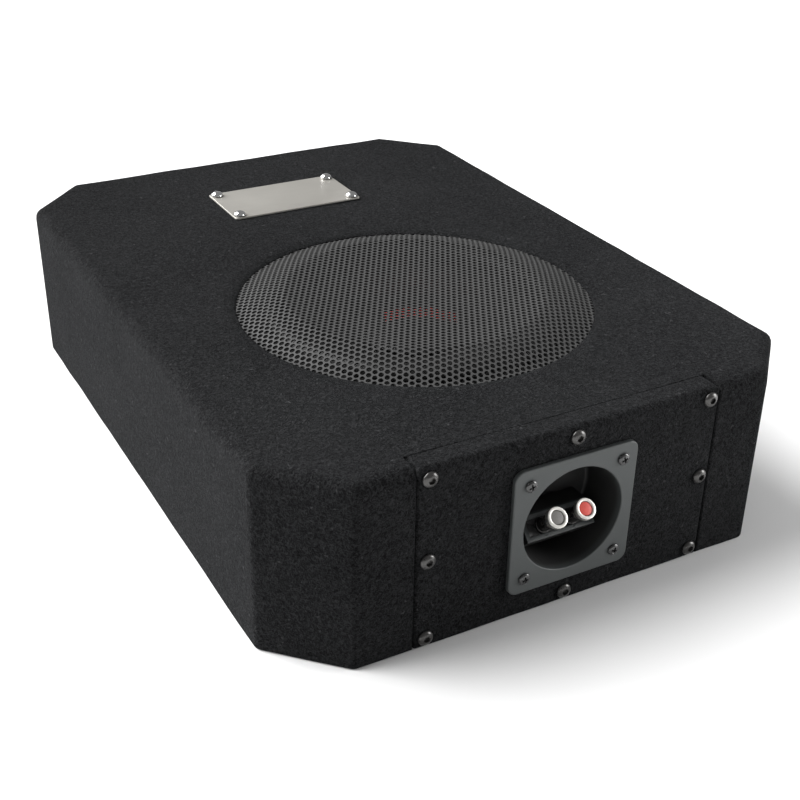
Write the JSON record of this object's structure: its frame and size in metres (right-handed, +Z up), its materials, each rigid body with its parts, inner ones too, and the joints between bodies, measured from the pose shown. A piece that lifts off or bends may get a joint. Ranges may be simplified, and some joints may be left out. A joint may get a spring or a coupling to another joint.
{
  "type": "car subwoofer box",
  "caption": "Low octagonal carpeted loudspeaker box with a domed round steel grille on top and a screwed end panel carrying a recessed push-post terminal cup.",
  "frame": {"origin": "middle of the flat underside", "axes": "+Z up through the grille, -Y out of the end with the access panel and terminal cup, +X to the right seen from that end"},
  "size_m": [0.33, 0.4651, 0.1168],
  "materials": {
    "wood": "medium density fibreboard",
    "carpet": "black needled felt carpet",
    "black_screw": "black oxide, slightly glossy",
    "cup_plastic": "satin moulded plastic",
    "post_metal": "black plated",
    "nickel": "bright nickel plate",
    "black_insert": "moulded disc",
    "red_insert": "moulded disc",
    "spring_steel": "bright spring wire",
    "black_wire": "flexible insulation",
    "red_wire": "flexible insulation",
    "foam": "closed-cell foam",
    "basket_coat": "black powder coat",
    "zinc_steel": "zinc plated",
    "ferrite": "ground ferrite",
    "coil_former": "wound former",
    "cone_paper": "black pressed pulp",
    "rubber": "moulded rubber",
    "spider_cloth": "treated cotton cloth",
    "strip_board": "phenolic board",
    "grille_coat": "black satin powder coat",
    "satin_steel": "satin grained",
    "chrome": "bright plate"
  },
  "bodies": {
    "enclosure": {"top_board": "wood", "bottom_board": "wood", "left_side_board": "wood", "right_side_board": "wood", "rear_board": "wood", "front_left_corner_board": "wood", "front_right_corner_board": "wood", "rear_left_corner_board": "wood", "rear_right_corner_board": "wood", "front_left_post": "wood", "front_right_post": "wood", "carpet_wrap": "carpet", "carpet_bottom": "carpet", "access_panel": "wood", "access_panel_carpet": "carpet", "panel_screw_top_left": "black_screw", "panel_screw_top_centre": "black_screw", "panel_screw_top_right": "black_screw", "panel_screw_middle_left": "black_screw", "panel_screw_middle_right": "black_screw", "panel_screw_bottom_left": "black_screw", "panel_screw_bottom_centre": "black_screw", "panel_screw_bottom_right": "black_screw", "terminal_cup": "cup_plastic", "terminal_screw_lower_left": "black_screw", "terminal_screw_lower_right": "black_screw", "terminal_screw_upper_left": "black_screw", "terminal_screw_upper_right": "black_screw", "terminal_post_black": "post_metal", "terminal_post_red": "post_metal", "post_spring_black": "spring_steel", "post_spring_red": "spring_steel", "speaker_wire_black": "black_wire", "speaker_wire_red": "red_wire", "woofer_gasket": "foam", "basket": "basket_coat", "top_plate": "zinc_steel", "magnet": "ferrite", "yoke": "zinc_steel", "surround": "rubber", "spider": "spider_cloth", "woofer_screw_1": "black_screw", "woofer_screw_2": "black_screw", "woofer_screw_3": "black_screw", "woofer_screw_4": "black_screw", "woofer_terminal_strip": "strip_board", "grille": "grille_coat", "nameplate": "satin_steel", "nameplate_screw_front_left": "chrome", "nameplate_screw_front_right": "chrome", "nameplate_screw_rear_left": "chrome", "nameplate_screw_rear_right": "chrome"},
    "cone_assembly": {"cone": "cone_paper", "dust_cap": "cone_paper", "voice_coil": "coil_former"},
    "push_button_black": {"push_cap_black": "nickel", "cap_insert_black": "black_insert"},
    "push_button_red": {"push_cap_red": "nickel", "cap_insert_red": "red_insert"}
  },
  "joints": [
    {"name": "cone_travel", "type": "slide", "parent": "enclosure", "child": "cone_assembly", "axis": [0, 0, 1], "range_m": [-0.006, 0.006], "stiffness_N_per_m": 2000, "deforming": ["surround", "spider"]},
    {"name": "push_black", "type": "slide", "parent": "enclosure", "child": "push_button_black", "axis": [0, 0.7071, -0.7071], "range_m": [0, 0.004], "stiffness_N_per_m": 600, "springref_m": -0.002, "deforming": ["post_spring_black"]},
    {"name": "push_red", "type": "slide", "parent": "enclosure", "child": "push_button_red", "axis": [0, 0.7071, -0.7071], "range_m": [0, 0.004], "stiffness_N_per_m": 600, "springref_m": -0.002, "deforming": ["post_spring_red"]}
  ]
}
